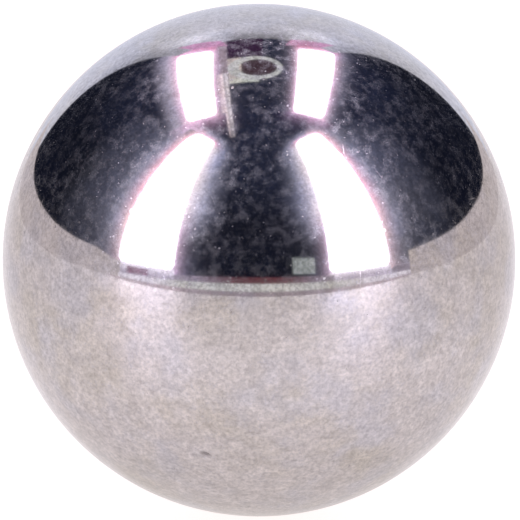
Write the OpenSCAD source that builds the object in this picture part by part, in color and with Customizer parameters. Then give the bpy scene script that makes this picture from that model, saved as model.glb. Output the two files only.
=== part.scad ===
// Steel ball: one solid, through-hardened ball, ground and polished all over.
// It is a true sphere, with no flat, bore or seam, and its origin is its centre.

/* [Ball] */
// Diameter of the ball
ball_d = 20; // [1:0.5:50]

/* [Hidden] */
// Facets around the ball in a preview
$fn = 180;

// The whole ball, centred on the origin: +Z is up, and its lowest point is at -ball_d / 2.
module ball() {
    color("silver")
        sphere(d = ball_d);
}

ball();
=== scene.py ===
"""A polished steel ball on a pale table, lit by four strip lamps in a dark studio."""

import math

import bpy
import numpy as np
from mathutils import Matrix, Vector


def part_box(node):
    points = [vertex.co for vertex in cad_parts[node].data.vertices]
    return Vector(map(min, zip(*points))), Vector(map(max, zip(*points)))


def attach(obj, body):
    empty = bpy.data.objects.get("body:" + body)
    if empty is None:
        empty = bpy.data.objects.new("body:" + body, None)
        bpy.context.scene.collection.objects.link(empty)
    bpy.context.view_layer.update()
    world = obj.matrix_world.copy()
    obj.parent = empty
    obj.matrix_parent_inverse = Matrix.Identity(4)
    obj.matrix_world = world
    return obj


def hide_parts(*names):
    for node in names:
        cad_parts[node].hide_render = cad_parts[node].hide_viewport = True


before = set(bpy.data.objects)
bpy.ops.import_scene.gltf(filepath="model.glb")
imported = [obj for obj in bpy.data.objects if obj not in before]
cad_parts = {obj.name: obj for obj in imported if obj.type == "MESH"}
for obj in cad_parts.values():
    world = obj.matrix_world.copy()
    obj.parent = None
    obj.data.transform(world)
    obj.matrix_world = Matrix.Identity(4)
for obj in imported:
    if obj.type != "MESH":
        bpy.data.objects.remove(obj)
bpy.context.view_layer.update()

# ---------------------------------------------------------------------------
# The ball. The real piece is one solid ball of through-hardened steel, ground and lapped between
# plates to a true sphere and polished to a mirror. A knock has left one small nick low on its
# front, and handling has left a thin film, dust, pits and hair scratches.

ball_low, ball_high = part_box("ball")
ball_radius = (ball_high.z - ball_low.z) / 2

nick_azimuth = math.radians(-15.0)  # from the front (-Y) towards the right (+X)
nick_elevation = math.radians(-37.5)  # above the level of the ball's centre
nick_turn = math.radians(-22)  # of its long side from level
nick_length = 0.46e-3
nick_width = 0.24e-3
nick_depth = 0.042e-3
nick_limit = 9.0  # where the nick and its burr end, in half widths squared
burr_height = 0.006e-3
burr_place = 1.35  # the burr's crest, in half widths of the nick from its middle
burr_spread = 0.30  # how far the burr falls off to each side of its crest, in half widths

patch_steps = 126  # quads along each side of a patch
patch_edge = math.pi / 4  # a patch spans this angle to each side of its middle
line_crowding = 3.0  # how much closer the grid lines stand at the nick
crowding_reach = math.radians(2.2)  # how far round the nick they stand closer
crowding_steps = 5040  # steps in which their density is added up
weld_digits = 9  # corners that agree to so many decimals of a metre are one


def towards(azimuth, elevation):
    """The unit vector at an azimuth from the front (-Y), where 90 degrees is the right (+X),
    and at an elevation above the horizon."""
    level = math.cos(elevation)
    return np.array((math.sin(azimuth) * level, -math.cos(azimuth) * level, math.sin(elevation)))


def crowded_angles(crowd_at):
    """Angles from -45 to 45 degrees for a patch's grid lines, closer together round crowd_at.
    The density of lines is 1 + crowding * exp(-((angle - crowd_at) / reach)^2), and the lines
    stand at equal shares of its running sum. With no crowd_at they are evenly spaced."""
    if crowd_at is None:
        return np.linspace(-patch_edge, patch_edge, patch_steps + 1)
    fine = np.linspace(-patch_edge, patch_edge, crowding_steps + 1)
    density = 1 + line_crowding * np.exp(-(((fine - crowd_at) / crowding_reach) ** 2))
    running = np.concatenate(([0], np.cumsum((density[1:] + density[:-1]) / 2)))
    return np.interp(np.linspace(0, running[-1], patch_steps + 1), running, fine)


def nick_shape(direction):
    """How deep the nick's hollow is and how high its burr stands, both from 0 to 1, in each
    direction. With s and t the distances along and across the nick over its half length and
    half width, and q = s^2 + t^2, the hollow is exp(-q^2). The burr is
    exp(-((sqrt(q) - place) / spread)^2) times how far t is below the middle, up to 1."""
    middle = towards(nick_azimuth, nick_elevation)
    level = np.cross((0, 0, 1), middle)
    level /= np.linalg.norm(level)
    uphill = np.cross(middle, level)
    along = math.cos(nick_turn) * level + math.sin(nick_turn) * uphill
    across = np.cross(middle, along)
    s = direction @ along * ball_radius / (nick_length / 2)
    t = direction @ across * ball_radius / (nick_width / 2)
    q = s**2 + t**2
    near = (direction @ middle > 0) & (q < nick_limit)
    hollow = np.exp(-(np.minimum(q, nick_limit) ** 2))
    burr = np.exp(-(((np.sqrt(q) - burr_place) / burr_spread) ** 2)) * np.clip(-t, 0, 1)
    return np.where(near, hollow, 0), np.where(near, burr, 0)


map_columns = 3  # the six patches share the map as three columns of two
map_rows = 2
map_gap = 0.008  # clear border round each patch, as a share of the map


def map_place(share, number):
    """A patch's own 0 to 1 coordinates, shrunk into its rectangle of the map."""
    cell = np.array((1 / map_columns, 1 / map_rows))
    corner = np.array((number % map_columns, number // map_columns)) * cell
    return corner + map_gap + share * (cell - 2 * map_gap)


def ball_patches():
    """Six square grids that close into a sphere. On each, a point is the unit vector along
    forward + tan(a) right + tan(b) up, for angles a and b from -45 to 45 degrees, times the
    ball's radius less the nick's hollow and plus its burr. Returns the corners, their hollow,
    their places on the map and the quads."""
    nick = towards(nick_azimuth, nick_elevation)
    crowd_at = (math.atan(nick[0] / -nick[1]), None, math.atan(nick[2] / -nick[1]))
    lines = [crowded_angles(at) for at in crowd_at]
    x, y, z = np.eye(3)
    sides = ((-y, x, z), (x, y, z), (y, -x, z), (-x, -y, z), (z, x, y), (-z, x, -y))
    count = patch_steps + 1
    first = np.arange(patch_steps)[:, None] * count + np.arange(patch_steps)[None, :]
    quad = np.stack((first, first + count, first + count + 1, first + 1), -1).reshape(-1, 4)
    corners, hollows, places, quads = [], [], [], []
    for number, (forward, right, up) in enumerate(sides):
        a, b = (np.sort(axis.sum() * lines[int(np.abs(axis).argmax())]) for axis in (right, up))
        a, b = np.meshgrid(a, b, indexing="ij")
        out = forward + np.tan(a)[..., None] * right + np.tan(b)[..., None] * up
        out /= np.linalg.norm(out, axis=-1, keepdims=True)
        hollow, burr = nick_shape(out)
        reach = ball_radius - nick_depth * hollow + burr_height * burr
        corners.append((out * reach[..., None]).reshape(-1, 3))
        hollows.append(hollow.ravel())
        share = np.stack((a, b), -1).reshape(-1, 2) / (2 * patch_edge) + 0.5
        places.append(map_place(share, number))
        quads.append(quad + number * count * count)
    return tuple(np.concatenate(part) for part in (corners, hollows, places, quads))


def closed_mesh(name, corners, hollows, places, quads):
    """A mesh of the quads, with corners that coincide made one, smooth faces, the UV map and
    each corner's share of the nick as an attribute."""
    near = np.round(corners, weld_digits)
    joined, kept, index = np.unique(near, axis=0, return_index=True, return_inverse=True)
    mesh = bpy.data.meshes.new(name)
    mesh.from_pydata(joined, [], index.reshape(-1)[quads])
    mesh.shade_smooth()
    layer = mesh.uv_layers.new(name="OFBake")
    layer.uv.foreach_set("vector", places[quads.reshape(-1)].astype(np.float32).ravel())
    nick = mesh.attributes.new("nick", "FLOAT", "POINT")
    nick.data.foreach_set("value", hollows[kept].astype(np.float32))
    return mesh


clean_steel = (0.60, 0.563, 0.555)
warm_film = (0.56, 0.52, 0.48)
cool_film = (0.565, 0.545, 0.57)
dust_grey = (0.50, 0.52, 0.66)
# the nick's colour is painted shade in its hollow, darker than the steel
nick_painted_shade = (0.29, 0.265, 0.265)
base_roughness = 0.05
grime_roughness = 0.03  # what the grime adds
haze_roughness = 0.42
haze_index = 2.5
haze_least = 0.03  # the weight of the haze where there is hardly any
haze_more = 0.97  # and what the thickest haze adds
haze_free = 1.03  # how bright the metal is without haze
haze_shade = 0.15  # and how much the haze takes from that
mark_shade = 0.18  # how much pits and dust darken the metal
powder_grey = 0.35  # how far powder takes the colour to grey
powder_dull = 0.08  # and how much of the metallic look it takes
mark_depth = 1.5e-6  # metres that a mark of height 1 stands up


def add_node(tree, kind, inputs=None, **settings):
    """A new node of a kind with its settings, and for each named input a value or a link."""
    node = tree.nodes.new("ShaderNode" + kind)
    for name, value in settings.items():
        setattr(node, name, value)
    for name, value in (inputs or {}).items():
        if isinstance(value, bpy.types.NodeSocket):
            tree.links.new(value, node.inputs[name])
        else:
            node.inputs[name].default_value = value
    return node


def maths(tree, operation, *values):
    """The output of a Math node on up to three values or sockets."""
    return add_node(tree, "Math", dict(enumerate(values)), operation=operation).outputs[0]


def vector_maths(tree, operation, *values, output=0):
    """An output of a Vector Math node on up to three vectors or sockets."""
    node = add_node(tree, "VectorMath", dict(enumerate(values)), operation=operation)
    return node.outputs[output]


def scaled(tree, colour, amount):
    """A colour times an amount."""
    inputs = {0: colour, "Scale": amount}
    return add_node(tree, "VectorMath", inputs, operation="SCALE").outputs[0]


def ramp(tree, value, start, end, low=0.0, high=1.0):
    """A smooth step that goes from low at start to high at end."""
    inputs = {"Value": value, "From Min": start, "From Max": end, "To Min": low, "To Max": high}
    return add_node(tree, "MapRange", inputs, interpolation_type="SMOOTHSTEP").outputs["Result"]


def noise(tree, place, size, detail=2.0, seed=0.0, fineness=0.55):
    """Cloudy noise from 0 to 1 whose lumps are about size metres across. Each finer layer is
    fineness times as strong as the one before."""
    inputs = {"Vector": place, "W": seed, "Scale": 1 / size, "Detail": detail, "Roughness": fineness}
    return add_node(tree, "TexNoise", inputs, noise_dimensions="4D").outputs["Fac"]


def mixed(tree, share, first, second):
    """A mix of two colours, each one a socket or three numbers."""
    node = add_node(tree, "Mix", data_type="RGBA")
    for socket, value in ((node.inputs[0], share), (node.inputs[6], first), (node.inputs[7], second)):
        if isinstance(value, bpy.types.NodeSocket):
            tree.links.new(value, socket)
        else:
            socket.default_value = (*value, 1) if isinstance(value, tuple) else value
    return node.outputs[2]


def new_group(name, inputs, output):
    """An empty node group with a Vector input, the named number inputs and one output."""
    tree = bpy.data.node_groups.new(name, "ShaderNodeTree")
    tree.interface.new_socket("Vector", in_out="INPUT", socket_type="NodeSocketVector")
    for label in inputs:
        tree.interface.new_socket(label, in_out="INPUT", socket_type="NodeSocketFloat")
    tree.interface.new_socket(output, in_out="OUTPUT", socket_type="NodeSocketFloat")
    return tree, tree.nodes.new("NodeGroupInput").outputs, tree.nodes.new("NodeGroupOutput").inputs


def specks_group():
    """Round specks at random places. Space is cut into cells about Spacing wide, and a Share of
    them hold a ball of a random radius from Smallest to Largest. The mask is how far inside the
    ball a point is, times the cell's own random strength."""
    tree, given, result = new_group("specks", ("Spacing", "Share", "Smallest", "Largest"), "Mask")
    scale = maths(tree, "DIVIDE", 1.0, given["Spacing"])
    cells = add_node(tree, "TexVoronoi", {"Vector": given["Vector"], "Scale": scale})
    chance = add_node(tree, "SeparateColor", {"Color": cells.outputs["Color"]}).outputs
    sizes = {"Value": chance["Red"], "To Min": given["Smallest"], "To Max": given["Largest"]}
    radius = add_node(tree, "MapRange", sizes).outputs["Result"]
    distance = maths(tree, "DIVIDE", cells.outputs["Distance"], scale)
    inside = ramp(tree, maths(tree, "DIVIDE", distance, radius), start=1.0, end=0.4)
    held = maths(tree, "LESS_THAN", chance["Green"], given["Share"])
    strength = maths(tree, "MULTIPLY_ADD", chance["Blue"], 0.6, 0.4)
    mask = maths(tree, "MULTIPLY", inside, strength)
    tree.links.new(maths(tree, "MULTIPLY", mask, held), result["Mask"])
    return tree


def hair_scratches_group():
    """Short straight scratches at random places and angles. Space is cut into cells about
    Spacing wide, and a Share of them hold a thin random plane through their middle. Where it
    meets the surface it draws a line of Width, which fades out at half the Length."""
    tree, given, result = new_group("hair_scratches", ("Spacing", "Share", "Width", "Length"), "Mask")
    scale = maths(tree, "DIVIDE", 1.0, given["Spacing"])
    cells = add_node(tree, "TexVoronoi", {"Vector": given["Vector"], "Scale": scale})
    middle = cells.outputs["Position"]
    away = vector_maths(tree, "SUBTRACT", given["Vector"], middle)
    spread = vector_maths(tree, "MULTIPLY_ADD", cells.outputs["Color"], (2, 2, 2), (-1, -1, -1))
    tilt = vector_maths(tree, "NORMALIZE", spread)
    off_plane = maths(tree, "ABSOLUTE", vector_maths(tree, "DOT_PRODUCT", away, tilt, output="Value"))
    off_plane = maths(tree, "DIVIDE", off_plane, given["Width"])
    off_middle = vector_maths(tree, "LENGTH", away, output="Value")
    off_middle = maths(tree, "DIVIDE", off_middle, given["Length"])
    chance = add_node(tree, "TexWhiteNoise", {"Vector": middle}).outputs["Value"]
    held = maths(tree, "LESS_THAN", chance, given["Share"])
    thin = ramp(tree, off_plane, start=0.5, end=0.15)
    short = ramp(tree, off_middle, start=0.5, end=0.3)
    line = maths(tree, "MULTIPLY", thin, short)
    tree.links.new(maths(tree, "MULTIPLY", line, held), result["Mask"])
    return tree


def place_group(tree, group, vector, **values):
    """One use of a node group in a material, with its own values."""
    node = add_node(tree, "Group", node_tree=group)
    tree.links.new(vector, node.inputs["Vector"])
    for name, value in values.items():
        node.inputs[name.capitalize()].default_value = value
    return node.outputs[0]


def stirred(tree, place, size, amount):
    """The place pushed about by a noise of a size, so that what is drawn there turns uneven."""
    push = add_node(tree, "TexNoise", {"Vector": place, "Scale": 1 / size, "Detail": 1.0})
    return vector_maths(tree, "MULTIPLY_ADD", push.outputs["Color"], (amount,) * 3, place)


def polished_steel():
    """Bare polished steel. Its colour is the metal under a patchy film, darker in the grime and
    marks, with painted shade in the nick. A rough coat, thicker on the upper side, is the haze of
    fine dust. Pits, dust, knocks and scratches roughen it, and powder is greyer and a little less
    metallic."""
    steel = bpy.data.materials.new("polished_steel")
    steel.use_nodes = True
    tree = steel.node_tree
    shader = tree.nodes["Principled BSDF"]
    shader.inputs["Coat Roughness"].default_value = haze_roughness
    shader.inputs["Coat IOR"].default_value = haze_index
    place = add_node(tree, "TexCoord").outputs["Object"]
    nick = add_node(tree, "Attribute", attribute_name="nick").outputs["Fac"]

    uneven = stirred(tree, place, size=0.12e-3, amount=0.06e-3)
    speck = {"tree": tree, "group": specks_group(), "vector": uneven}
    pits = place_group(**speck, spacing=0.32e-3, share=0.24, smallest=0.03e-3, largest=0.09e-3)
    dust = place_group(**speck, spacing=0.16e-3, share=0.6, smallest=0.02e-3, largest=0.045e-3)
    drifts = noise(tree, place, size=0.5e-3, detail=3.0, seed=15.0, fineness=0.7)
    dust = maths(tree, "MULTIPLY", dust, ramp(tree, drifts, start=0.42, end=0.60))
    knocks = place_group(**speck, spacing=1.2e-3, share=0.04, smallest=0.03e-3, largest=0.08e-3)
    scratch = {"tree": tree, "group": hair_scratches_group(), "vector": place}
    hairs = place_group(**scratch, spacing=2.2e-3, share=0.22, width=0.03e-3, length=1.1e-3)
    scuffs = place_group(**scratch, spacing=0.9e-3, share=0.30, width=0.03e-3, length=0.5e-3)

    powder = noise(tree, place, size=0.10e-3, detail=3.0, seed=21.0, fineness=0.7)
    drifts = noise(tree, place, size=0.6e-3, detail=3.0, seed=23.0, fineness=0.6)
    powder = ramp(tree, powder, start=0.50, end=0.72)
    powder = maths(tree, "MULTIPLY", powder, ramp(tree, drifts, start=0.35, end=0.65))

    grains = noise(tree, place, size=0.40e-3, detail=4.0, seed=9.0, fineness=0.68)
    clouds = noise(tree, place, size=2.8e-3, detail=3.0, seed=27.0, fineness=0.6)
    upward = add_node(tree, "SeparateXYZ", {"Vector": place}).outputs["Z"]
    haze = ramp(tree, grains, start=0.43, end=0.71)
    haze = maths(tree, "MULTIPLY", haze, ramp(tree, clouds, start=0.32, end=0.68, low=0.36))
    settled = ramp(tree, upward, start=0.0, end=0.6 * ball_radius, low=0.66, high=1.0)
    haze = maths(tree, "MULTIPLY_ADD", maths(tree, "MULTIPLY", haze, settled), haze_more, haze_least)

    warm = noise(tree, place, size=3.0e-3, detail=4.0, seed=1.0)
    cool = noise(tree, place, size=2.2e-3, detail=4.0, seed=4.0)
    film = mixed(tree, ramp(tree, warm, start=0.42, end=0.64), clean_steel, warm_film)
    film = mixed(tree, ramp(tree, cool, start=0.46, end=0.66), film, cool_film)
    grime = noise(tree, place, size=0.16e-3, detail=3.0, seed=7.0, fineness=0.7)
    blotch = noise(tree, place, size=0.55e-3, detail=3.0, seed=5.0)
    blotch = ramp(tree, blotch, start=0.25, end=0.75, low=1.10, high=0.88)
    shade = ramp(tree, grime, start=0.25, end=0.75, low=1.22, high=0.75)
    shade = maths(tree, "MULTIPLY", shade, blotch)
    marked = maths(tree, "MULTIPLY_ADD", maths(tree, "MAXIMUM", pits, dust), -mark_shade, 1.0)
    shade = maths(tree, "MULTIPLY", shade, marked)
    evened = maths(tree, "MULTIPLY_ADD", haze, -haze_shade, haze_free)
    bright = scaled(tree, film, maths(tree, "MULTIPLY", shade, evened))
    bright = mixed(tree, maths(tree, "MULTIPLY", powder, powder_grey), bright, dust_grey)
    # the nick is painted darker, as painted shade in its hollow
    tree.links.new(mixed(tree, nick, bright, nick_painted_shade), shader.inputs["Base Color"])

    rough = ramp(tree, grime, start=0.42, end=0.62)
    rough = maths(tree, "MULTIPLY_ADD", rough, grime_roughness, base_roughness)
    marks = ((pits, 0.26), (dust, 0.44), (knocks, 0.15), (hairs, 0.10), (scuffs, 0.10), (nick, 0.35))
    for mark, amount in marks:
        rough = maths(tree, "MULTIPLY_ADD", mark, amount, rough)
    tree.links.new(rough, shader.inputs["Roughness"])
    tree.links.new(haze, shader.inputs["Coat Weight"])
    tree.links.new(maths(tree, "MULTIPLY_ADD", powder, -powder_dull, 1.0), shader.inputs["Metallic"])

    height = 0.0
    for mark, amount in ((knocks, -4.0), (pits, -0.3), (hairs, -0.4), (scuffs, -0.3)):
        height = maths(tree, "MULTIPLY_ADD", mark, amount, height)
    bump = add_node(tree, "Bump", {"Height": height, "Distance": mark_depth, "Strength": 1.0})
    tree.links.new(bump.outputs["Normal"], shader.inputs["Normal"])
    return steel


ball = bpy.data.objects.new("polished_ball", closed_mesh("polished_ball", *ball_patches()))
bpy.context.scene.collection.objects.link(ball)
ball.data.materials.append(polished_steel())

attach(ball, "root")
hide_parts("ball")

# ---------------------------------------------------------------------------
# The table top. It is a pale sheet that carries the ball and keeps its shadow. It ends in a
# straight front edge and reaches back to the backdrop board. In the ball's reflection its glow is
# painted brighter near the ball, a painted pool of light, and darker right under it, a painted shadow.

table_half = 0.60
table_front = -0.123
table_back = 0.50
table_paper = (0.16, 0.16, 0.16)
table_glow = (1, 0.925, 0.905)
table_seen = 0.95  # how bright the table's own glow is to the camera
table_far = 0.60  # and to the ball, far from it
table_painted_light = 0.26  # and the painted light that is added close to it
table_fade = 0.035  # the distance in which that fades
table_painted_shadow = 0.86  # what is left of it right under the ball, as painted shadow


def staged_mesh(name, corners, faces, material):
    """A piece of the stage from its corners, its faces and its material."""
    mesh = bpy.data.meshes.new(name)
    mesh.from_pydata(corners, [], faces)
    mesh.materials.append(material)
    thing = bpy.data.objects.new(name, mesh)
    bpy.context.scene.collection.objects.link(thing)
    return thing


def flat_sheet(name, corner, along, up, material):
    """A four-cornered sheet from a corner and two edges."""
    corner, along, up = (np.array(v, dtype=float) for v in (corner, along, up))
    corners = np.array((corner, corner + along, corner + along + up, corner + up))
    return staged_mesh(name, corners, [(0, 1, 2, 3)], material)


def pale_table():
    """A dull grey sheet that keeps shadows, plus a glow of its own to the camera and the ball. To
    the ball, the glow has painted light close to the ball and a painted shadow right under it.
    """
    material = bpy.data.materials.new("pale_table")
    material.use_nodes = True
    tree = material.node_tree
    paper = tree.nodes["Principled BSDF"]
    paper.inputs["Base Color"].default_value = (*table_paper, 1)
    path = add_node(tree, "LightPath").outputs
    mirror = maths(tree, "ADD", path["Is Glossy Ray"], path["Is Transmission Ray"])
    place = add_node(tree, "TexCoord").outputs["Object"]
    away = vector_maths(tree, "LENGTH", place, output="Value")
    # seen in the ball: painted light near the ball and painted shadow right under it
    fading = maths(tree, "EXPONENT", maths(tree, "DIVIDE", away, -table_fade))
    painted_shadow = ramp(tree, away, start=ball_radius, end=2 * ball_radius, low=table_painted_shadow)
    mirrored = maths(tree, "MULTIPLY_ADD", fading, table_painted_light, table_far)
    mirrored = maths(tree, "MULTIPLY", mirrored, painted_shadow)
    strength = maths(tree, "MULTIPLY", path["Is Camera Ray"], table_seen)
    strength = maths(tree, "MULTIPLY_ADD", mirror, mirrored, strength)
    own = add_node(tree, "Emission", {"Color": (*table_glow, 1), "Strength": strength})
    both = add_node(tree, "AddShader", {0: paper.outputs[0], 1: own.outputs[0]})
    tree.links.new(both.outputs[0], tree.nodes["Material Output"].inputs["Surface"])
    return material


flat_sheet(
    "table_top",
    (-table_half, table_front, ball_low.z),
    (2 * table_half, 0, 0),
    (0, table_back - table_front, 0),
    pale_table(),
)

# ---------------------------------------------------------------------------
# The backdrop board. It is a tall pale board that stands at the table's back edge. Like all that
# follows, only the ball's reflection shows it.

board_left = -0.285
board_right = 0.257
board_top = 0.628
board_white = (0.84, 0.86, 1.0)
board_level = 0.94
board_painted_light = (  # painted light where the lamps overhead fall on the board: side, height, reach and how much they add
    (-0.155, 0.45, 0.12, 0.42),
    (0.130, 0.46, 0.10, 0.32),
)


def glow(name, colour, strength=1.0):
    """A material that only gives off light."""
    material = bpy.data.materials.new(name)
    material.use_nodes = True
    tree = material.node_tree
    tree.nodes.remove(tree.nodes["Principled BSDF"])
    light = add_node(tree, "Emission", {"Color": (*colour, 1), "Strength": strength})
    tree.links.new(light.outputs[0], tree.nodes["Material Output"].inputs["Surface"])
    return material


def only_mirrored(*things):
    """Shows things in reflections only."""
    for thing in things:
        thing.visible_camera = False
        thing.visible_diffuse = False
        thing.visible_shadow = False
        thing.visible_transmission = False


def pale_board():
    """The board's glow: even low down, with two patches of painted light, and painted shade between
    them at its top edge and towards its upper corners."""
    material = glow("pale_board", board_white)
    tree = material.node_tree
    place = add_node(tree, "TexCoord").outputs["Object"]
    parts = add_node(tree, "SeparateXYZ", {"Vector": place}).outputs
    aside = maths(tree, "ABSOLUTE", parts["X"])
    # painted shade at the top edge and towards the upper corners
    painted_top_shade = ramp(tree, parts["Z"], start=0.42, end=0.62, high=0.55)
    painted_top_shade = maths(tree, "MULTIPLY", painted_top_shade, ramp(tree, aside, start=0.13, end=0.05))
    painted_corner_shade = ramp(tree, aside, start=0.17, end=0.27, high=0.38)
    painted_corner_shade = maths(tree, "MULTIPLY", painted_corner_shade, ramp(tree, parts["Z"], start=0.12, end=0.40))
    level = maths(tree, "SUBTRACT", maths(tree, "SUBTRACT", board_level, painted_top_shade), painted_corner_shade)
    for x, z, reach, amount in board_painted_light:
        away = vector_maths(tree, "DISTANCE", place, (x, table_back, z), output="Value")
        level = maths(tree, "ADD", level, ramp(tree, away, start=reach, end=0.0, high=amount))
    tree.links.new(level, tree.nodes["Emission"].inputs["Strength"])
    return material


board = flat_sheet(
    "backdrop_board",
    (board_left, table_back, ball_low.z),
    (board_right - board_left, 0, 0),
    (0, 0, board_top - ball_low.z),
    pale_board(),
)
only_mirrored(board)

# ---------------------------------------------------------------------------
# The side boards. A low curved pale board stands on the table at each side of the ball, at one
# distance from it. The left one begins low and rises, and both are lower towards the back.

side_away = 0.42
side_end = math.radians(158)
side_fall_start = math.radians(113)
side_fall_turn = math.radians(42)
side_fall = math.radians(1.9)
side_steps = 60


def smooth_step(value, start, distance):
    """3 x^2 - 2 x^3, where x is how far the value is past the start over the distance."""
    x = np.clip((value - start) / distance, 0, 1)
    return x**2 * (3 - 2 * x)


def side_board(name, side, start, low_top, high_top, rise, material):
    """A board on the left (-1) or right (1). At each azimuth it stands on the table, and its top
    is at an elevation that rises by a smooth step and falls by another. Angles in degrees."""
    start, low_top, high_top, rise = (math.radians(v) for v in (start, low_top, high_top, rise))
    azimuth = np.linspace(start, side_end, side_steps + 1)
    top = low_top + (high_top - low_top) * smooth_step(azimuth, start, rise)
    top -= side_fall * smooth_step(azimuth, side_fall_start, side_fall_turn)
    x, y = side * np.sin(azimuth) * side_away, -np.cos(azimuth) * side_away
    low = np.stack((x, y, np.full(side_steps + 1, ball_low.z)), -1)
    high = np.stack((x, y, side_away * np.tan(top)), -1)
    first = np.arange(side_steps)
    quads = np.stack((first, first + 1, first + side_steps + 2, first + side_steps + 1), -1)
    return staged_mesh(name, np.concatenate((low, high)), quads, material)


side_paper = glow("side_paper", (0.70, 0.64, 0.66))
only_mirrored(
    side_board("left_side", -1, 64.0, 4.6, 7.0, 16.0, side_paper),
    side_board("right_side", 1, 70.5, 7.2, 7.5, 10.0, side_paper),
)

# ---------------------------------------------------------------------------
# The front lip and the bench. A pale strip of plastic runs along in front of the table, with a
# dark sheet of painted shade for the gap behind its lower edge. Beyond it the edge of a dark wooden
# bench shows. All three have painted light that makes them paler and more violet under the lamps.

lip_front = -0.179
lip_bottom = -8.4e-3
lip_top = 2.4e-3
gap_away = 0.01  # how far the gap lies behind the lip
gap_bottom = -0.03
bench_away = 0.50
bench_half = 0.43
bench_top = bench_away * math.tan(math.radians(3.4))


def fading_glow(name, axis, start, end, first, second):
    """A glow whose colour goes by a smooth step from the first to the second as the place along
    an axis, taken without its sign, goes from start to end."""
    material = glow(name, first)
    tree = material.node_tree
    place = add_node(tree, "SeparateXYZ", {"Vector": add_node(tree, "TexCoord").outputs["Object"]})
    share = ramp(tree, maths(tree, "ABSOLUTE", place.outputs[axis]), start, end)
    tree.links.new(mixed(tree, share, first, second), tree.nodes["Emission"].inputs["Color"])
    return material


for name, half, front, bottom, top, material in (
    (
        "front_lip", table_half, lip_front, lip_bottom, lip_top,
        # the lip's plastic, with painted light that makes it paler and more violet under the lamps
        fading_glow("lip_plastic", "X", 0.11, 0.20, (0.80, 0.81, 0.80), (1.12, 1.08, 1.24)),
    ),
    (
        # the gap is a dark sheet of painted shade, with painted light that makes it paler under the
        # lamps
        "lip_gap_shadow", table_half, lip_front - gap_away, gap_bottom, lip_bottom,
        fading_glow("gap_painted_shade", "X", 0.06, 0.17, (0.42, 0.36, 0.41), (0.68, 0.58, 0.66)),
    ),
    (
        "bench_edge", bench_half, -bench_away, lip_top, bench_top,
        # the bench's dark wood, with painted light that makes it paler and more violet under the lamps
        fading_glow("bench_wood", "X", 0.05, 0.34, (0.17, 0.06, 0.075), (0.45, 0.40, 0.51)),
    ),
):
    strip = flat_sheet(name, (-half, front, bottom), (2 * half, 0, 0), (0, 0, top - bottom), material)
    only_mirrored(strip)

# ---------------------------------------------------------------------------
# The dark studio. It is a large room whose walls are almost black. Their glow is painted light,
# a little lighter towards the ceiling and darker to the left and right.

room_half = 2.5
room_floor = -1.0
wall_colour = (0.60, 0.82, 2.0)
wall_dark = 0.010
wall_light = 0.030
wall_aside = 0.95  # what is left of the glow at the left and right


def dark_walls():
    """A wall's glow goes from the dark level to the light one with the sine of its elevation as
    seen from the ball, and down to its share aside with how far it lies to the left or right,
    both by a smooth step."""
    material = glow("dark_wall", wall_colour)
    tree = material.node_tree
    place = add_node(tree, "TexCoord").outputs["Object"]
    parts = add_node(tree, "SeparateXYZ", {"Vector": vector_maths(tree, "NORMALIZE", place)}).outputs
    sideways = maths(tree, "ABSOLUTE", parts["X"])
    # painted light: lighter upwards, darker to the sides
    sideways = ramp(tree, sideways, start=0.10, end=0.60, low=1.0, high=wall_aside)
    upwards = ramp(tree, parts["Z"], start=0.40, end=0.85, low=wall_dark, high=wall_light)
    level = maths(tree, "MULTIPLY", upwards, sideways)
    tree.links.new(level, tree.nodes["Emission"].inputs["Strength"])
    return material


room_sides = (-room_half, room_half)
room = staged_mesh(
    "dark_room",
    [(x, y, z) for x in room_sides for y in room_sides for z in (room_floor, room_half)],
    [(0, 1, 3, 2), (4, 6, 7, 5), (0, 4, 5, 1), (2, 3, 7, 6), (0, 2, 6, 4), (1, 5, 7, 3)],
    dark_walls(),
)
only_mirrored(room)

# ---------------------------------------------------------------------------
# The upright lamps. Two white strips stand on pale feet in front of the ball, to the left and
# right of the camera. Each is behind a thin cloth edge with a rounded opening, with a painted glow
# of soft light round it on the cloth and on a clear sheet, and a far window shows between them.

lamp_radiance = 5.0
left_white = (0.96, 0.94, 1.14)
right_white = (0.94, 0.94, 1.18)
upright_away = 0.60
upright_margin = 0.012  # width of the cloth round an upright lamp
lower_corner = (0.04, 0.04)  # the radii of its opening's lower corners, across and up
cloth_nearer = 0.99  # share of a lamp's distance at which its cloth is
cloth_steps = 64
foot_nearer = 0.975
foot_share = 0.95  # how much of the height under a lamp its foot fills
# The soft light round the upright lamps is a painted glow, with painted reddish and bluish fringes.
glow_away = 0.612  # how far the sheets with the soft light are
glow_bottom = 0.030
glow_top = 1.35  # their height, in heights of the lamp
glow_wide = 0.28  # how far the light beside a lamp reaches inwards
fringe_peak = 1.95  # how bright the light is at the lamp's outer edge
fringe_low = 0.85  # and at its foot
fringe_reach = 0.056
low_reach = 0.37  # low down, the light on the inner side reaches this share as far
low_peak = 0.68  # and is this share as bright
veil_wide = 1.0  # how far the faint veil reaches outwards
veil_peak = 0.17
veil_reach = 0.42
veil_blue = (0.95, 1.0, 1.36)
outer_low = (1.0, 0.72, 0.78)  # the colour of the light at the outer edge, low down
outer_high = (1.0, 0.50, 0.60)  # higher up
outer_far = (1.0, 1.0, 1.28)  # and away from the edge
inner_low = (1.0, 0.75, 1.08)  # and the same at the inner edge
inner_high = (1.0, 0.91, 1.02)
inner_top = (1.0, 0.50, 0.72)  # at the lamp's top
inner_far = (0.95, 1.0, 1.42)


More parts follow.
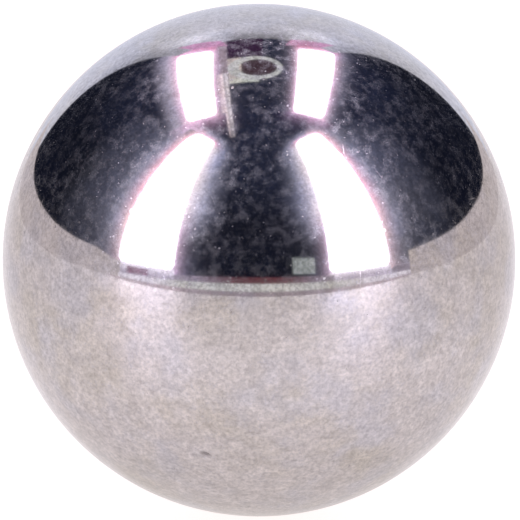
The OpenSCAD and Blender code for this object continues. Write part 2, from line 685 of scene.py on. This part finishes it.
def strip_lamp(name, middle, facing, wide, tall, white):
    """A rectangular lamp at middle, turned by facing, wide across and tall along. A flat lamp of
    radiance L gives off a power of L times pi times its area."""
    lamp = bpy.data.lights.new(name, "AREA")
    lamp.shape = "RECTANGLE"
    lamp.size = wide
    lamp.size_y = tall
    lamp.color = white
    lamp.energy = lamp_radiance * math.pi * wide * tall
    holder = bpy.data.objects.new(name, lamp)
    holder.location = middle
    holder.rotation_euler = facing
    holder.visible_camera = False
    bpy.context.scene.collection.objects.link(holder)


def rounded_opening(half, corners):
    """Points round a rectangle with elliptical corners. At each angle the point is its corner's
    centre plus the corner's two radii times the angle's direction. The corners' radii go round
    from the inner upper corner to the outer upper, outer lower and inner lower one."""
    angle = (np.arange(cloth_steps) + 0.5) * 2 * math.pi / cloth_steps
    turn = np.stack((np.cos(angle), np.sin(angle)), -1)
    radii = np.repeat(np.array(corners, dtype=float), cloth_steps // 4, axis=0)
    return (np.array(half) - radii) * np.sign(turn) + radii * turn


def cloth_frame(name, middle, inwards, up, half, opening, margin, top_margin, material):
    """The cloth edge of a lamp, a flat ring between its opening and a plain rectangle. Each
    point of the opening has the rectangle's corner on its own side as its outer point."""
    outer = (np.array(half) + margin) * np.sign(opening)
    outer[:, 1] = np.where(opening[:, 1] > 0, half[1] + top_margin, outer[:, 1])
    first = np.arange(cloth_steps)
    following = (first + 1) % cloth_steps
    quads = np.stack((first, following, following + cloth_steps, first + cloth_steps), -1)
    corners = np.concatenate((opening, outer)) @ np.array((inwards, up)) + np.array(middle)
    cloth = staged_mesh(name, corners, quads, material)
    only_mirrored(cloth)
    cloth.visible_shadow = True


def soft_light(name, clear):
    """A material that gives off light, either clear or with nothing seen through it, and the
    socket that its colour goes to."""
    material = glow(name, (0, 0, 0))
    tree = material.node_tree
    light = tree.nodes["Emission"]
    if clear:
        air = add_node(tree, "BsdfTransparent")
        added = add_node(tree, "AddShader", {0: light.outputs[0], 1: air.outputs[0]})
        tree.links.new(added.outputs[0], tree.nodes["Material Output"].inputs["Surface"])
    return material, light.inputs["Color"]


def blended(tree, share, first, second):
    """A mix of two numbers or sockets."""
    return add_node(tree, "Mix", {0: share, 2: first, 3: second}).outputs[0]


def linear(tree, value, start, end, low, high):
    """A straight line from low at start to high at end."""
    inputs = {"Value": value, "From Min": start, "From Max": end, "To Min": low, "To Max": high}
    return add_node(tree, "MapRange", inputs).outputs["Result"]


def past(tree, value, limit):
    """How far a value is past a limit, or 0."""
    return maths(tree, "MAXIMUM", maths(tree, "SUBTRACT", value, limit), 0.0)


def length_of(tree, across, along):
    """The length of a flat vector from its two parts."""
    flat = add_node(tree, "CombineXYZ", {"X": across, "Y": along}).outputs[0]
    return vector_maths(tree, "LENGTH", flat, output="Value")


def upright_glow(name, clear, inwards, half_width, low, high, narrowing, inner, outer, peak, reach):
    """The painted glow of soft light round an upright lamp. The distance d outside its opening is
    measured in the stretched space where its upper corner is a circle. The light is A * exp(-d / L)
    on the outer side, reddish at the edge, and peak * exp(-(d / reach)^p) on the inner side, where p
    grows from 1 low down to 1.5. A bluish painted veil of B * exp(-d / M) lies on the outer side."""
    material, colour = soft_light(name, clear)
    tree = material.node_tree
    place = add_node(tree, "TexCoord").outputs["Object"]
    height = add_node(tree, "SeparateXYZ", {"Vector": place}).outputs["Z"]
    aside = vector_maths(tree, "DOT_PRODUCT", place, inwards, output="Value")
    within = ramp(tree, aside, start=-0.02, end=0.02)
    lifted = ramp(tree, height, start=0.15, end=0.42)
    narrowed = linear(tree, height, low, high, half_width, half_width * (1 - narrowing))
    half = blended(tree, within, narrowed, half_width)
    wide, tall = (blended(tree, within, outer[side], inner[side]) for side in (0, 1))
    beside = past(tree, maths(tree, "ABSOLUTE", aside), maths(tree, "SUBTRACT", half, wide))
    above = past(tree, height, maths(tree, "SUBTRACT", high, tall))
    outside = length_of(tree, maths(tree, "DIVIDE", beside, wide), maths(tree, "DIVIDE", above, tall))
    outside = maths(tree, "MULTIPLY", past(tree, outside, 1.0), wide)

    inner_reach = blended(tree, lifted, low_reach * reach, reach)
    inner_peak = blended(tree, lifted, low_peak * peak, peak)
    outer_peak = ramp(tree, height, start=0.03, end=0.28, low=fringe_low, high=fringe_peak)
    power = blended(tree, within, 1.0, blended(tree, lifted, 1.0, 1.5))
    share = maths(tree, "DIVIDE", outside, blended(tree, within, fringe_reach, inner_reach))
    fall = maths(tree, "MULTIPLY", maths(tree, "POWER", share, power), -1.0)
    level = blended(tree, within, outer_peak, inner_peak)
    level = maths(tree, "MULTIPLY", maths(tree, "EXPONENT", fall), level)
    level = maths(tree, "MULTIPLY", level, ramp(tree, height, start=glow_top * high, end=1.08 * high))
    further = ramp(tree, outside, start=0.0, end=0.14)
    topmost = ramp(tree, height, start=high - 0.10, end=high)
    red = mixed(tree, further, mixed(tree, lifted, outer_low, outer_high), outer_far)
    pale = mixed(tree, topmost, mixed(tree, lifted, inner_low, inner_high), inner_top)
    pale = mixed(tree, further, pale, inner_far)
    fringe = scaled(tree, mixed(tree, within, red, pale), level)

    veil = maths(tree, "EXPONENT", maths(tree, "DIVIDE", outside, -veil_reach))
    for share in (
        ramp(tree, within, start=0.0, end=1.0, low=veil_peak, high=0.0),
        ramp(tree, height, start=0.05, end=0.35, low=0.5),
        ramp(tree, height, start=1.18 * high, end=0.85 * high),
        ramp(tree, outside, start=veil_wide, end=0.5 * veil_wide),
    ):
        veil = maths(tree, "MULTIPLY", veil, share)
    veil = scaled(tree, veil_blue, veil)
    tree.links.new(vector_maths(tree, "ADD", fringe, veil), colour)
    return material


# The feet's colour is painted light, brighter higher up towards the lamps above them.
foot_painted_light = fading_glow("foot_painted_light", "Z", 0.010, 0.046, (0.72, 0.66, 0.84), (1.45, 1.38, 1.60))
# Angles are in degrees. A lamp's inner and outer are the radii of its opening's upper corners.
for (
    name, azimuth, inward, half_angle, low_angle, high_angle,
    narrowing, inner, outer, white, peak, reach,
) in (
    ("left", -51.9, 1, 13.7, 4.8, 62.2, 0.43, (0.05, 0.06), (0.125, 0.235), left_white, 1.62, 0.104),
    ("right", 46.0, -1, 14.4, 4.0, 63.3, 0.31, (0.10, 0.11), (0.07, 0.12), right_white, 1.38, 0.092),
):
    spot = math.radians(azimuth)
    half_width = upright_away * math.tan(math.radians(half_angle))
    low = upright_away * math.tan(math.radians(low_angle))
    high = upright_away * math.tan(math.radians(high_angle))
    half = (half_width, (high - low) / 2)
    outward = Vector((math.sin(spot), -math.cos(spot), 0))
    inwards = Vector((math.cos(spot), math.sin(spot), 0)) * inward
    up = Vector((0, 0, 1))
    middle = outward * upright_away + up * (low + high) / 2
    strip_lamp(name + "_upright", middle, (math.radians(90), 0, spot), 2 * half_width, high - low, white)
    foot = flat_sheet(
        name + "_foot",
        outward * upright_away * foot_nearer - inwards * half_width,
        2 * half_width * inwards,
        up * low * foot_share,
        foot_painted_light,
    )
    opening = rounded_opening(half, (inner, outer, lower_corner, lower_corner))
    narrowed = 1 - narrowing * (opening[:, 1] + half[1]) / (2 * half[1])
    opening[:, 0] *= np.where(opening[:, 0] < 0, narrowed, 1)
    lit = (inwards, half_width, low, high, narrowing, inner, outer, peak, reach)
    cloth_frame(
        name + "_upright_cloth",
        middle * cloth_nearer,
        inwards,
        up,
        half,
        opening,
        upright_margin,
        upright_margin,
        upright_glow(name + "_upright_cloth", False, *lit),
    )
    halo = flat_sheet(
        name + "_upright_glow",
        outward * glow_away - inwards * (half_width + veil_wide) + up * glow_bottom,
        (2 * half_width + veil_wide + glow_wide) * inwards,
        up * (glow_top * high - glow_bottom),
        upright_glow(name + "_upright_glow", True, *lit),
    )
    only_mirrored(foot, halo)

# The left foot mark is a painted shadow of the left lamp's foot, and the right corner is painted shade.
for name, corner, along, tall, material in (
    (
        "left_foot_shadow_sheet", (-0.505, -0.284, 0.008), (0.065, -0.082, 0), 0.026,
        glow("painted_foot_shadow", (0.40, 0.24, 0.36)),
    ),
    (
        "right_corner", (0.603, -0.355, 0.0), (0.061, 0.133, 0), 0.075,
        fading_glow("corner_shade", "Z", 0.012, 0.075, (0.40, 0.36, 0.46), (0.02, 0.02, 0.03)),
    ),
    (
        "far_window", (0.160, -0.60, 0.048), (0.119, 0, 0), 0.079,
        glow("window_glass", (0.44, 0.50, 0.52)),
    ),
):
    only_mirrored(flat_sheet(name, corner, along, (0, 0, tall), material))

# ---------------------------------------------------------------------------
# The overhead lamps. Two more white strips hang level over the ball, each behind a cloth edge
# with a painted glow of soft reddish light round it. Their far ends are cut at a slant by the
# cloth, and a painted red glow lies on the top of the backdrop board where it is close to them.

overhead_height = 1.2
overhead_margin = 0.012
overhead_far_margin = 0.10
overhead_corners = ((0.02, 0.04), (0.02, 0.04), (0.07, 0.07), (0.05, 0.05))
overhead_slant = 0.15  # how much shorter the opening is at its inner side
overhead_peak = 1.6
overhead_wide = 0.28
overhead_stretch = 4.5  # how much wider the soft light is beyond a far end than beside a lamp
overhead_near = 0.65  # how much a distance before a near end counts
edge_violet = (1.0, 0.68, 0.92)  # the colour of the soft light at an edge
far_blue = (1.0, 0.95, 1.25)  # away from it
far_red = (1.0, 0.45, 0.74)  # beyond a far end
gap_violet = (1.0, 0.64, 0.98)  # and before a near end
red_nearer = 0.001  # metres that the painted red glow on the board lies in front of it
red_bottom = 0.497  # the height of its lower corner
red_tall = 0.13
red_rise = 0.105  # its width, and how much higher it is at its inner side
glow_higher = 1.012  # the height of the sheets with the soft light, in heights of the lamps


def overhead_glow(name, clear, middle, inwards, along, half, inner_reach, outer_reach):
    """The painted glow of soft light round an overhead lamp, peak * exp(-d / reach) for the distance
    d outside its opening. The opening's far end lies slant * s^2 nearer, where s goes from 0 at the
    outer side to 1 at the inner side, and beyond either end distances count less."""
    material, colour = soft_light(name, clear)
    tree = material.node_tree
    place = add_node(tree, "TexCoord").outputs["Object"]
    place = vector_maths(tree, "SUBTRACT", place, middle)
    aside = vector_maths(tree, "DOT_PRODUCT", place, inwards, output="Value")
    ahead = vector_maths(tree, "DOT_PRODUCT", place, along, output="Value")
    share = linear(tree, aside, -half[0], half[0], 0.0, 1.0)
    cut = maths(tree, "MULTIPLY", maths(tree, "MULTIPLY", share, share), -overhead_slant)
    beyond = past(tree, ahead, maths(tree, "ADD", cut, half[1]))
    before = past(tree, maths(tree, "MULTIPLY", ahead, -1.0), half[1])
    before = maths(tree, "MULTIPLY", before, overhead_near)
    beside = past(tree, maths(tree, "ABSOLUTE", aside), half[0])
    lengthways = maths(tree, "MULTIPLY_ADD", beyond, 1 / overhead_stretch, before)
    away = length_of(tree, beside, lengthways)
    reach = blended(tree, ramp(tree, aside, start=-0.02, end=0.02), outer_reach, inner_reach)
    fall = maths(tree, "MULTIPLY", maths(tree, "DIVIDE", away, reach), -1.0)
    edge = ramp(tree, away, start=overhead_wide, end=0.6 * overhead_wide, high=overhead_peak)
    level = maths(tree, "MULTIPLY", maths(tree, "EXPONENT", fall), edge)
    tint = ramp(tree, away, start=0.0, end=0.12)
    tint = mixed(tree, tint, edge_violet, far_blue)
    ended = maths(tree, "MULTIPLY", ramp(tree, beyond, 0.0, 0.05), ramp(tree, beside, 0.06, 0.0))
    tint = mixed(tree, ended, tint, far_red)
    tint = mixed(tree, ramp(tree, before, start=0.0, end=0.03), tint, gap_violet)
    tree.links.new(scaled(tree, tint, level), colour)
    return material


# painted reddish light on the board's top near the ends of the overhead lamps
painted_red_glow = glow("painted_red_glow", (0.84, 0.44, 0.74))
for name, inward, inner, outer, front, back, turn, inner_reach, outer_reach, white, end in (
    ("left", 1, -0.258, -0.475, -0.147, 0.755, -2.6, 0.045, 0.09, left_white, -0.225),
    ("right", -1, 0.214, 0.424, -0.136, 0.770, 1.2, 0.030, 0.045, right_white, 0.205),
):
    turn = math.radians(turn)
    middle = Vector(((inner + outer) / 2, (front + back) / 2, 1)) * overhead_height
    half = (abs(outer - inner) * overhead_height / 2, (back - front) * overhead_height / 2)
    inwards = Vector((math.cos(turn), math.sin(turn), 0)) * inward
    along = Vector((-math.sin(turn), math.cos(turn), 0))
    strip_lamp(name + "_overhead", middle, (0, 0, turn), 2 * half[0], 2 * half[1], white)
    opening = rounded_opening(half, overhead_corners)
    share = (opening[:, 0] + half[0]) / (2 * half[0])
    opening[:, 1] -= np.where(opening[:, 1] > 0, overhead_slant * share**2, 0)
    lit = (inwards, along, half, inner_reach, outer_reach)
    cloth_frame(
        name + "_overhead_cloth_painted_glow",
        middle * cloth_nearer,
        inwards,
        along,
        half,
        opening,
        overhead_margin,
        overhead_far_margin,
        overhead_glow(name + "_overhead_cloth_painted_glow", False, middle * cloth_nearer, *lit),
    )
    halo = flat_sheet(
        name + "_overhead_glow",
        middle * glow_higher - inwards * (half[0] + overhead_wide) - along * (half[1] + overhead_wide),
        2 * (half[0] + overhead_wide) * inwards,
        2 * (half[1] + overhead_wide) * along,
        overhead_glow(name + "_overhead_glow", True, middle * glow_higher, *lit),
    )
    red = flat_sheet(
        name + "_painted_red_glow",
        (end, table_back - red_nearer, red_bottom),
        (red_rise * inward, 0, red_rise),
        (0, 0, red_tall),
        painted_red_glow,
    )
    only_mirrored(halo, red)

# ---------------------------------------------------------------------------
# The rail and the ring. A pale rail hangs beside the left overhead lamp and carries a flat pale
# ring on a plate and an arm. They glow with painted light: the rail's left edge is painted
# brightest and its middle darker, and the rail is painted dimmer towards its near end. Places and
# sizes are shares of the lamps' height above the ball.

ring_middle = (-0.021, 0.31)
ring_radius = 0.151
hole_middle = (-0.006, 0.308)
hole_radius = 0.104
ring_steps = 48
rail_further = 0.002  # metres that the rail and the plates hang above the ring
hole_further = 0.006  # and the dark panels
rail_front = -0.405  # the rail's near end
rail_full = 0.22 * overhead_height  # towards it the rail's painted light dims from this place
rail_faded = 0.40 * overhead_height  # to this one
rail_dim = 0.4  # and to this share of its painted light


def overhead_ring(material):
    """A flat ring between two circles: at each angle one point on the rim, at its middle plus
    its radius times the angle's direction, and one on the hole, in the same way."""
    angle = np.linspace(0, 2 * math.pi, ring_steps, endpoint=False)
    turn = np.stack((np.cos(angle), np.sin(angle)), -1)
    flat = np.concatenate((ring_middle + ring_radius * turn, hole_middle + hole_radius * turn))
    corners = np.column_stack((flat, np.ones(2 * ring_steps))) * overhead_height
    first = np.arange(ring_steps)
    following = (first + 1) % ring_steps
    quads = np.stack((first, following, following + ring_steps, first + ring_steps), -1)
    return staged_mesh("overhead_ring", corners, quads, material)


only_mirrored(overhead_ring(glow("ring_paint", (0.76, 0.80, 0.82))))
# The rail's edges and middle are painted as its lit and shaded sides.
for name, left, right, front, back, further, colour in (
    ("ring_plate", -0.170, -0.095, 0.140, 0.455, rail_further, (0.76, 0.68, 0.67)),
    ("ring_arm", -0.168, 0.0, 0.135, 0.190, rail_further, (0.90, 0.98, 0.94)),
    ("rail_shoulder", -0.238, -0.215, -0.15, 0.27, rail_further, (1.02, 0.84, 0.98)),
    ("rail_left_edge", -0.215, -0.204, rail_front, 0.27, rail_further, (1.5, 1.28, 1.42)),
    ("rail_middle", -0.204, -0.190, rail_front, 0.27, rail_further, (0.68, 0.64, 0.74)),
    ("rail_right_edge", -0.190, -0.174, rail_front, 0.27, rail_further, (1.08, 1.02, 1.14)),
    ("rail_far_end", -0.212, -0.170, 0.27, 0.80, rail_further, (0.44, 0.36, 0.44)),
    ("hole_dark", -0.10, 0.10, 0.21, 0.41, hole_further, (0.07, 0.035, 0.05)),
    ("far_panel", -0.168, 0.02, 0.46, 0.80, hole_further, (0.045, 0.015, 0.06)),
):
    near_share = rail_dim if front == rail_front else 1
    faded = tuple(near_share * channel for channel in colour)
    part = flat_sheet(
        name,
        (left * overhead_height, front * overhead_height, overhead_height + further),
        ((right - left) * overhead_height, 0, 0),
        (0, (back - front) * overhead_height, 0),
        fading_glow(name, "Y", rail_full, rail_faded, colour, faded),
    )
    only_mirrored(part)

# ---------------------------------------------------------------------------
# The air of the studio. It is plain white where it is seen and a soft grey where it lights the
# scene.

world_grey = 0.25

world = bpy.data.worlds.new("studio_air")
bpy.context.scene.world = world
world.use_nodes = True
tree = world.node_tree
sky = tree.nodes["Background"]
sky.inputs["Color"].default_value = (1, 1, 1, 1)
path = add_node(tree, "LightPath").outputs
shown = maths(tree, "ADD", path["Is Camera Ray"], path["Is Glossy Ray"])
shown = maths(tree, "ADD", shown, path["Is Transmission Ray"])
tree.links.new(ramp(tree, shown, start=0.0, end=1.0, low=world_grey), sky.inputs["Strength"])

# ---------------------------------------------------------------------------
# The camera. It looks slightly down at the ball through a long lens, close enough for the ball
# to fill nearly the whole picture. Its colours are plain, with no film look.

camera_away = 0.35
camera_elevation = math.radians(11)
camera_fill = 0.9865  # share of the picture that the ball's width takes
camera_sensor = 36.0  # millimetres
camera_shift = 0.002  # share of the picture that the ball stands left of its middle
camera_near = 0.01
camera_far = 10.0

lens = bpy.data.cameras.new("camera")
camera = bpy.data.objects.new("camera", lens)
bpy.context.scene.collection.objects.link(camera)
bpy.context.scene.camera = camera
sight = towards(0, camera_elevation)
camera.location = Vector(sight * camera_away)
camera.rotation_euler = Vector(-sight).to_track_quat("-Z", "Y").to_euler()
lens.sensor_width = camera_sensor
lens.lens = camera_sensor * camera_fill / 2 / math.tan(math.asin(ball_radius / camera_away))
lens.shift_x = camera_shift
lens.clip_start = camera_near
lens.clip_end = camera_far

bpy.context.scene.view_settings.view_transform = "Standard"
